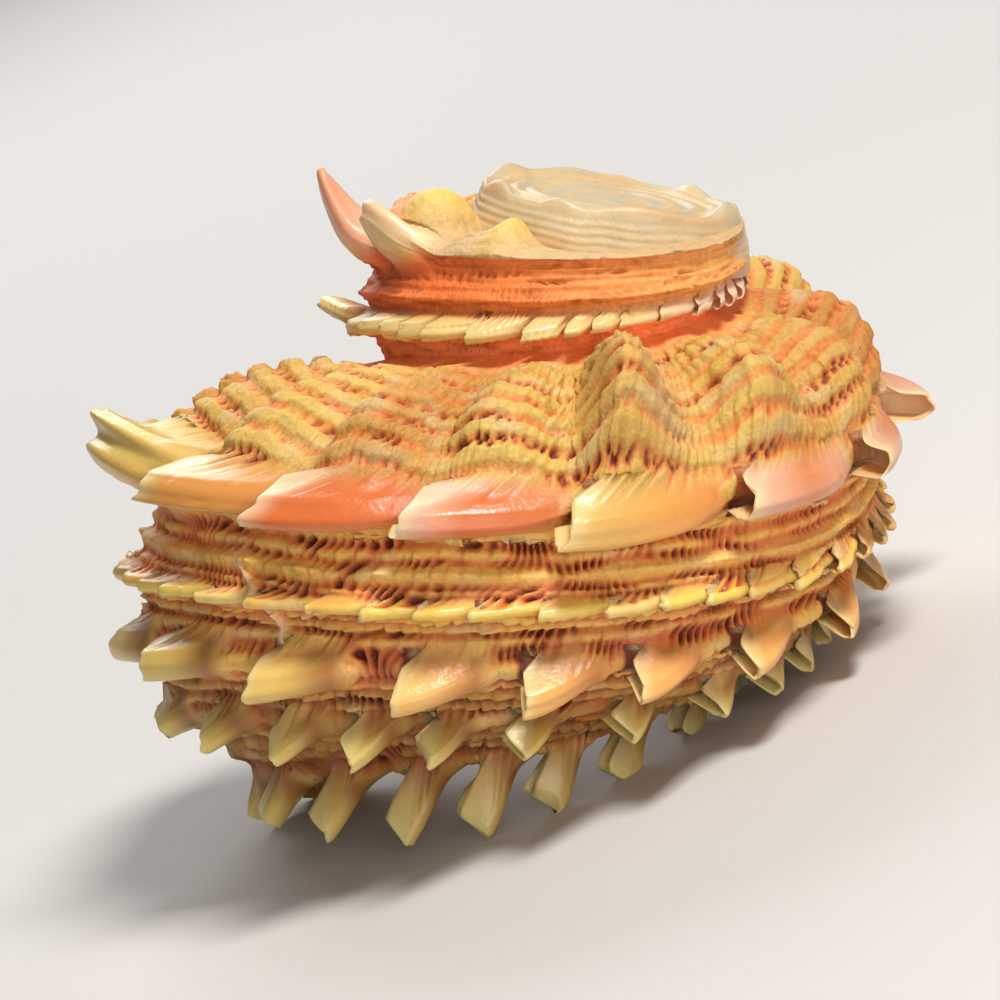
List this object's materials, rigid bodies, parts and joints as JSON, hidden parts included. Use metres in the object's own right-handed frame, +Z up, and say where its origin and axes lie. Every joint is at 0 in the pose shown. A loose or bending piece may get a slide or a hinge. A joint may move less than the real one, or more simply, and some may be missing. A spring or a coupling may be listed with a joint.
{
  "type": "sea snail shell",
  "caption": "Heavy spiral sea snail shell with a flat worn spire, a spiny shoulder, rows of curved hollow spines and a round open mouth.",
  "frame": {"origin": "middle of the shell's box, on the surface that it rests on", "axes": "+Z up as the shell rests on its lower spines and lip, +Y away from the side that the picture shows, +X to that picture's right"},
  "size_m": [0.0618, 0.0523, 0.044],
  "materials": {
    "shell": "rough outside with glossy spines, pearly inside the mouth"
  },
  "bodies": {
    "root": {"shell": "shell"}
  },
  "joints": []
}
